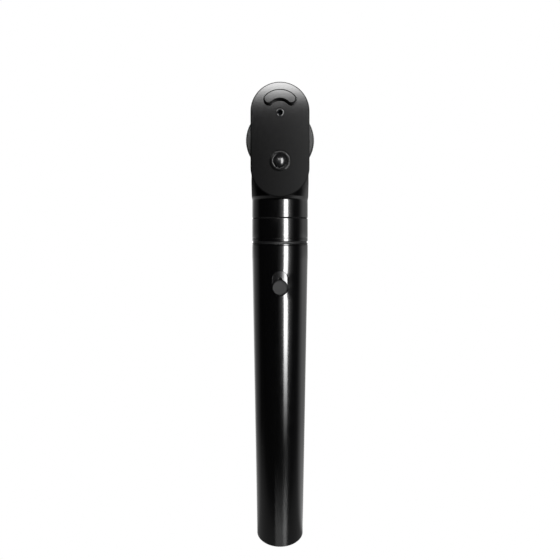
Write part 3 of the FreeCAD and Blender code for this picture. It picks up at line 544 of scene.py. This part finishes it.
class SCOPE_OT_brow_pad(bpy.types.Operator):
    """Kidney-shaped brow pad: a matt rim with a leaning wall and a bevel round a flat satin cushion"""

    bl_idname = "scope.brow_pad"
    bl_label = "Brow pad"
    bl_options = {"REGISTER", "UNDO"}

    def execute(self, context):
        settings = context.scene.scope
        low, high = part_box("brow_pad")
        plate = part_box("front_plate")
        crown_z = plate[1].z - plate[1].x
        width = settings.pad_width / 2
        middle, end = high.z - crown_z - width, math.radians(45)
        # outline at unit width: out along the arc, round one end, back along the arc, round the other
        arc = np.linspace(-end, end, 81)
        cap = np.linspace(0, math.pi, 26)[1:-1]
        centre = np.concatenate([arc, np.full(len(cap), end), arc[::-1], np.full(len(cap), -end)])
        way = np.concatenate([arc, end + cap, arc[::-1] + math.pi, -end + math.pi + cap])
        # rim: a matt ring with a leaning wall and a bevel; cushion: the satin face inside it
        lean, bevel, rise = settings.pad_draft, settings.pad_edge, high.y - low.y
        edge, sharp, rim_land = 0.04 * MM, 0.01 * MM, 0.05 * MM
        inner = width - lean - bevel - rim_land
        rim = rounded([(inner, 0), (width, 0), (width - lean, rise - bevel), (inner + rim_land, rise),
                       (inner, rise)], [sharp, edge, edge, sharp, sharp], 3)
        inward = np.linspace(inner + 0.04 * MM, 0, 9)
        plug = np.vstack([[(0, 0), (inward[0], 0)], np.stack([inward, np.full_like(inward, rise)], -1)])
        side = Finish("pad_side_black", settings.paint, 0.55, specular=0.12).mottle(1800, 0.2)
        for name, section, look in (("brow_pad_rim", rim, side),
                                    ("brow_pad_cushion", plug, satin_black(settings, "pad_rubber"))):
            reach, height = section[:, :1], section[:, 1:]
            rows = np.stack([middle * np.sin(centre) + reach * np.sin(way), high.y - height + 0 * way,
                             crown_z + middle * np.cos(centre) + reach * np.cos(way)], -1)
            piece = skinned(name, rows, ring=name == "brow_pad_rim")
            piece.data.set_sharp_from_angle(angle=math.radians(25))
            place(piece, "head", "pad_rubber", look, "brow_pad")
        return {"FINISHED"}


class SCOPE_OT_sight_lip(bpy.types.Operator):
    """Rounded black lip set in the plate round the sight hole"""

    bl_idname = "scope.sight_lip"
    bl_label = "Sight hole lip"
    bl_options = {"REGISTER", "UNDO"}

    def execute(self, context):
        settings = context.scene.scope
        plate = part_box("front_plate")
        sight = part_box("sight_tube")
        centre = (0, 0, (sight[0].z + sight[1].z) / 2)
        face, back, hole = plate[0].y, plate[1].y, 1.15 * MM
        inner, wide, fit = hole - settings.lip_reach, hole + 0.29 * MM, hole - 0.01 * MM
        # rounding of the inner edge: full size at the bottom of the hole, falling with the cube of the cosine
        angle = np.linspace(0, 2 * math.pi, FACE_SEGMENTS, endpoint=False)
        curve = TIGHT + settings.lip_radius * np.clip(-np.sin(angle), 0, 1) ** 3
        turn = np.linspace(0, math.pi / 2, 14)[:, None]
        level = np.ones_like(angle)
        radius = np.vstack([level * [[fit], [fit], [wide]], inner + curve * (1 - np.sin(turn)), level * inner])
        depth = np.vstack([level * [[back], [face + 0.32 * MM], [face + 0.01 * MM]],
                           face + curve * (1 - np.cos(turn)), level * back])
        rows = np.stack([radius * np.cos(angle), depth, radius * np.sin(angle)], -1) + np.asarray(centre)
        lip = skinned("sight_hole_lip", rows, ring=True)
        place(lip, "head", "inner_black", satin_black(settings, "lip_black"))
        return {"FINISHED"}


class SCOPE_OT_display(bpy.types.Operator):
    """Display window: a turned bezel with a sunk skirt, and a domed smoked lens"""

    bl_idname = "scope.display"
    bl_label = "Display"
    bl_options = {"REGISTER", "UNDO"}

    def execute(self, context):
        settings = context.scene.scope
        low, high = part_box("display_bezel")
        lens_low, lens_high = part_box("display_lens")
        centre = (0, 0, (low.z + high.z) / 2)
        bore, ring, skirt, edge = lens_high.x, settings.bezel_ring, high.x, settings.bezel_edge
        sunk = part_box("front_plate")[0].y + 0.4 * MM
        outline = rounded([(bore, high.y), (skirt, high.y), (skirt, sunk), (ring, sunk), (ring, low.y),
                           (bore, low.y)], [TIGHT, TIGHT, TIGHT, TIGHT, edge, edge], 10)
        bezel = skinned("display_bezel_turned", turned(outline, FACE_SEGMENTS, "Y", centre), ring=True)
        finish = Finish("bezel_black", settings.paint, 0.12, specular=0.4).patchy(900, 0.11, 0.14).mottle(1800, 0.2)
        place(bezel, "head", "bezel_black", finish, "display_bezel")
        # dome: part of a ball whose radius is (bore squared + rise squared) / (2 rise)
        rise = settings.dome_rise
        ball = (bore ** 2 + rise ** 2) / (2 * rise)
        spread = np.linspace(math.asin(bore / ball), 0, 40)
        cap = np.stack([ball * np.sin(spread), lens_low.y + ball - ball * np.cos(spread)], -1)
        bevel = 0.05 * MM
        wall = np.array([(0, lens_high.y), (bore - bevel, lens_high.y), (bore, lens_high.y - bevel)])
        dome = skinned("display_dome", turned(np.vstack([wall, cap]), FACE_SEGMENTS, "Y", centre))
        smoked = glass("smoked_glass", (0.002, 0.002, 0.0022), 0.96, 0.27, 0.35)
        place(dome, "head", "smoked_dome", smoked, "display_lens")
        return {"FINISHED"}


class SCOPE_OT_numbers(bpy.types.Operator):
    """Upright lens powers round the wheel, each figure of seven straight strokes"""

    bl_idname = "scope.numbers"
    bl_label = "Wheel numbers"
    bl_options = {"REGISTER", "UNDO"}

    def execute(self, context):
        settings = context.scene.scope
        # strokes as x, z of both ends in half heights: top, upper right, lower right, foot, lower left,
        # upper left, middle; then the strokes of each figure
        strokes = np.array([[0, 2, 1, 2], [1, 1, 1, 2], [1, 0, 1, 1], [0, 0, 1, 0], [0, 0, 0, 1], [0, 1, 0, 2],
                            [0, 1, 1, 1]], float)
        lit = {"0": [0, 1, 2, 3, 4, 5], "1": [1, 2], "2": [0, 1, 6, 4, 3], "3": [0, 1, 6, 2, 3], "4": [5, 6, 1, 2],
               "5": [0, 5, 6, 2, 3], "6": [0, 5, 4, 3, 2, 6], "7": [0, 1, 2], "8": [0, 1, 2, 3, 4, 5, 6],
               "9": [3, 2, 1, 0, 5, 6]}
        height, count = settings.digit_height, settings.lens_count
        pitch, stroke_width, stroke_half = height * 0.62, height * 0.4, height * 0.06
        low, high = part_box("lens_wheel")
        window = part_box("display_lens")
        axis_z = (low.z + high.z) / 2
        ring = axis_z - (window[0].z + window[1].z) / 2
        quads = []
        for number in range(count):
            figures = str(min(number, count - number))
            angle = 2 * math.pi * number / count
            turn = np.array([[math.cos(angle), -math.sin(angle)], [math.sin(angle), math.cos(angle)]])
            for slot, figure in enumerate(figures):
                start = (slot - len(figures) / 2 + 0.18) * pitch
                ends = strokes[lit[figure]].reshape(-1, 2, 2) * [stroke_width, height / 2]
                ends = ends + [start, -height / 2 - ring]
                # each stroke is a bar: its ends pushed out along it and its sides set off square to it
                along = unit(ends[:, 1] - ends[:, 0]) * stroke_half
                side = np.stack([-along[:, 1], along[:, 0]], -1)
                bar = [ends[:, 0] - along - side, ends[:, 1] + along - side, ends[:, 1] + along + side,
                       ends[:, 0] - along + side]
                quads.append(np.stack(bar, 1) @ turn.T)
        flat = np.concatenate(quads).reshape(-1, 2)
        points = np.stack([flat[:, 0], np.full(len(flat), low.y - 0.03 * MM), flat[:, 1] + axis_z], -1)
        numbers = mesh_object("power_numbers", points, np.arange(len(points)).reshape(-1, 4))
        paint = numbers.modifiers.new("paint_thickness", "SOLIDIFY")
        paint.thickness = 0.02 * MM
        place(numbers, "lens_disc", "mark_white", moulded("number_white", (0.8, 0.8, 0.78), 0.5, 0.001 * MM),
              "power_marks")
        return {"FINISHED"}


class SCOPE_OT_stage(bpy.types.Operator):
    """Pale floor, soft studio lights, surroundings and the camera"""

    bl_idname = "scope.stage"
    bl_label = "Stage"
    bl_options = {"REGISTER", "UNDO"}

    def execute(self, context):
        settings = context.scene.scope
        floor()
        table_top()
        strip_light(settings)
        overhead_light(settings)
        studio()
        camera(context.scene)
        return {"FINISHED"}


# ---------------------------------------------------------------- stage

GROUND = 1.5           # half the width of the ground, and how far it runs back
TABLE_FRONT = -0.075   # front edge of the table top
STRIP_AZIMUTH = math.radians(24.3)   # to the right of straight ahead
STRIP_DISTANCE = 0.55


def sheet(name, front, finish):
    """A flat sheet on the ground from a front edge back."""
    corners = np.array([[-GROUND, front, 0], [GROUND, front, 0], [GROUND, GROUND, 0], [-GROUND, GROUND, 0]])
    made = mesh_object(name, corners, np.arange(4).reshape(1, 4))
    finish.shader.inputs["Emission Color"].default_value = (1, 1, 1, 1)
    made.data.materials.append(finish.material)
    return made


def floor():
    """The white floor that the camera sees."""
    finish = Finish("floor_white", (0.0, 0.0, 0.0), 1.0, specular=0.0)
    finish.shader.inputs["Emission Strength"].default_value = 1.0
    made = sheet("floor", -GROUND, finish)
    made.visible_diffuse = made.visible_glossy = made.visible_shadow = False


# brightness of the studio by how far back a direction points, from -1 straight ahead to 1 straight behind
LEFT_STOPS = ((-1, 0.002), (0.05, 0.01), (0.35, 0.2), (0.68, 0.35), (0.9, 0.75), (1.0, 0.6))
RIGHT_STOPS = ((-1, 0.002), (-0.25, 0.015), (-0.15, 0.05), (-0.07, 0.12), (0.02, 0.28), (0.14, 0.48),
               (0.375, 0.75), (0.63, 0.5), (1.0, 0.35))


def surroundings(tree, direction):
    """Brightness of the studio by direction: bright behind, dim on the left, dark in front and overhead."""
    split = node(tree, "ShaderNodeSeparateXYZ", {0: direction}).outputs
    left = curve(tree, split["Y"], LEFT_STOPS)
    right = curve(tree, split["Y"], RIGHT_STOPS)
    side = ranged(tree, split["X"], -0.1, 0.1, 0, 1)
    mix = node(tree, "ShaderNodeMix", {0: side, 2: left, 3: right}).outputs[0]
    return maths(tree, "MULTIPLY", mix, ranged(tree, split["Z"], 0.32, 0.5, 1.0, 0.02))


def curve(tree, value, stops):
    """Straight lines through (input, level) stops, for inputs from -1 to 1."""
    ramp = node(tree, "ShaderNodeValToRGB", {0: ranged(tree, value, -1, 1, 0, 1)})
    elements = ramp.color_ramp.elements
    elements[0].position, elements[1].position = 0, 1
    elements[0].color, elements[1].color = [(level,) * 3 + (1,) for level in (stops[0][1], stops[-1][1])]
    for at, level in stops[1:-1]:
        elements.new((at + 1) / 2).color = (level,) * 3 + (1,)
    return ramp.outputs["Color"]


def table_top():
    """The glossy table top that the object reflects, glowing with painted light; it ends just ahead of the handle."""
    finish = Finish("table_painted_glow", (0.02, 0.02, 0.02), 0.2)
    tree = finish.tree
    split = node(tree, "ShaderNodeSeparateXYZ", {0: finish.place}).outputs
    # painted light: the table glows with the studio's brightness in the direction it lies from the handle's foot
    outward = node(tree, "ShaderNodeVectorMath", {0: finish.place}, operation="NORMALIZE").outputs[0]
    far = surroundings(tree, outward)
    # painted light: a pool of light round the handle's foot, dim ahead of the handle
    reach = node(tree, "ShaderNodeVectorMath", {0: finish.place}, operation="LENGTH").outputs["Value"]
    painted_light_pool = ranged(tree, reach, 0.1, 0.03, 0, 1)
    side = ranged(tree, split["X"], -0.01, 0.01, 0.22, 0.2)
    ahead = ranged(tree, split["Y"], -0.033, 0.003, 0.1, 1.0, "SMOOTHSTEP")
    level = maths(tree, "ADD", far, maths(tree, "MULTIPLY", painted_light_pool, maths(tree, "MULTIPLY", side, ahead)))
    tree.links.new(level, finish.shader.inputs["Emission Strength"])
    cover = maths(tree, "POWER", ranged(tree, split["Y"], TABLE_FRONT, -0.017, 0, 1), 2.5)
    tree.links.new(cover, finish.shader.inputs["Alpha"])
    made = sheet("table_top", TABLE_FRONT, finish)
    made.visible_camera = made.visible_shadow = False


def panel_light(name, at, aim, size, radiance):
    """A soft rectangular light; returns its node tree and the place (u, v) on it from its lower left corner."""
    lamp = bpy.data.lights.new(name, "AREA")
    lamp.shape = "RECTANGLE"
    lamp.size, lamp.size_y = size
    lamp.energy = radiance * math.pi * size[0] * size[1]
    lamp.use_nodes = True
    light = bpy.data.objects.new(name, lamp)
    bpy.context.scene.collection.objects.link(light)
    light.location = at
    line = np.subtract(aim, at)
    light.rotation_euler = (math.atan2(math.hypot(line[0], line[1]), -line[2]), 0,
                            math.atan2(line[0], -line[1]) + math.pi)
    light.visible_camera = False
    tree = lamp.node_tree
    place_on = node(tree, "ShaderNodeNewGeometry").outputs["Parametric"]
    return tree, node(tree, "ShaderNodeSeparateXYZ", {0: place_on}).outputs


def faded(tree, on, share):
    """Brightness that rises from nothing at a light's lower edge, with the square of the height, over a share."""
    return maths(tree, "POWER", ranged(tree, on["Y"], 0, share, 0, 1), 2.0)


def strip_light(settings):
    """A tall strip to the right of the camera with a soft lower end, and the dim glow on either side of it."""
    x, y = STRIP_DISTANCE * math.sin(STRIP_AZIMUTH), -STRIP_DISTANCE * math.cos(STRIP_AZIMUTH)
    strip_z, glow_z, behind = 0.124, 0.055, 1.02
    tree, on = panel_light("strip_light", (x, y, strip_z), (0, 0, strip_z), (0.155, 0.732), settings.strip_radiance)
    tree.links.new(faded(tree, on, 0.235), tree.nodes["Emission"].inputs["Strength"])
    tree, on = panel_light("strip_glow", (x * behind, y * behind, glow_z), (0, 0, glow_z), (0.66, 0.58),
                           settings.glow_radiance)
    fade = faded(tree, on, 0.297)
    # the glow falls off to each side as the exponential of the distance from its middle line
    offset = maths(tree, "ABSOLUTE", maths(tree, "SUBTRACT", on["X"], 0.5))
    glow = maths(tree, "MULTIPLY", fade, maths(tree, "EXPONENT", maths(tree, "MULTIPLY_ADD", offset, -9.2, 1.07)))
    glow = maths(tree, "MULTIPLY", glow, ranged(tree, on["Y"], 0.9, 1.0, 1, 0))
    tree.links.new(glow, tree.nodes["Emission"].inputs["Strength"])


def overhead_light(settings):
    """A broad light above the camera whose lower edge fades quickly."""
    x, y, z = 0.1, -0.6, 0.395
    tree, on = panel_light("overhead_light", (x, y, z), (x, 0, z), (0.7, 0.162), settings.overhead_radiance)
    tree.links.new(faded(tree, on, 0.204), tree.nodes["Emission"].inputs["Strength"])


def studio():
    """White behind the object for the camera, and the studio's surroundings for everything else."""
    world = bpy.data.worlds.new("studio")
    bpy.context.scene.world = world
    world.use_nodes = True
    tree = world.node_tree
    level = surroundings(tree, node(tree, "ShaderNodeTexCoord").outputs["Generated"])
    seen = node(tree, "ShaderNodeLightPath").outputs["Is Camera Ray"]
    strength = node(tree, "ShaderNodeMix", {0: seen, 2: level, 3: 1.0}).outputs[0]
    background = tree.nodes["Background"]
    background.inputs["Color"].default_value = (1, 1, 1, 1)
    tree.links.new(strength, background.inputs["Strength"])


def camera(scene):
    """A level camera in front of the collar, shifted down to take in the whole handle."""
    lens = bpy.data.cameras.new("camera")
    lens.sensor_width = 36.0
    lens.lens = 29.571
    lens.shift_y = -0.0893
    made = bpy.data.objects.new("camera", lens)
    scene.collection.objects.link(made)
    made.location = (0, -0.1697, 0.1113)
    made.rotation_euler = (math.pi / 2, 0, 0)
    scene.camera = made
    scene.view_settings.view_transform = "Standard"


# ---------------------------------------------------------------- add-on

OPERATORS = (SCOPE_OT_lacquered, SCOPE_OT_painted, SCOPE_OT_plastics, SCOPE_OT_metals, SCOPE_OT_glasses,
             SCOPE_OT_collar, SCOPE_OT_button, SCOPE_OT_recess, SCOPE_OT_brow_pad, SCOPE_OT_sight_lip, SCOPE_OT_display,
             SCOPE_OT_numbers, SCOPE_OT_stage)


class SCOPE_PT_panel(bpy.types.Panel):
    """Lists the settings, and the operators in the order in which they run"""

    bl_idname = "SCOPE_PT_panel"
    bl_label = "Ophthalmoscope"
    bl_space_type = "VIEW_3D"
    bl_region_type = "UI"
    bl_category = "Ophthalmoscope"

    def draw(self, context):
        for name in ScopeSettings.__annotations__:
            self.layout.prop(context.scene.scope, name)
        for operator in OPERATORS:
            self.layout.operator(operator.bl_idname)


CLASSES = (ScopeSettings, *OPERATORS, SCOPE_PT_panel)


def register():
    """Adds the classes, and the settings to the scene."""
    for cls in CLASSES:
        bpy.utils.register_class(cls)
    bpy.types.Scene.scope = PointerProperty(type=ScopeSettings)


def unregister():
    """Takes the settings and the classes away again."""
    del bpy.types.Scene.scope
    for cls in reversed(CLASSES):
        bpy.utils.unregister_class(cls)


def main():
    """Runs the operators in order."""
    register()
    for operator in OPERATORS:
        getattr(bpy.ops.scope, operator.bl_idname.partition(".")[2])()


if __name__ == "__main__":
    main()
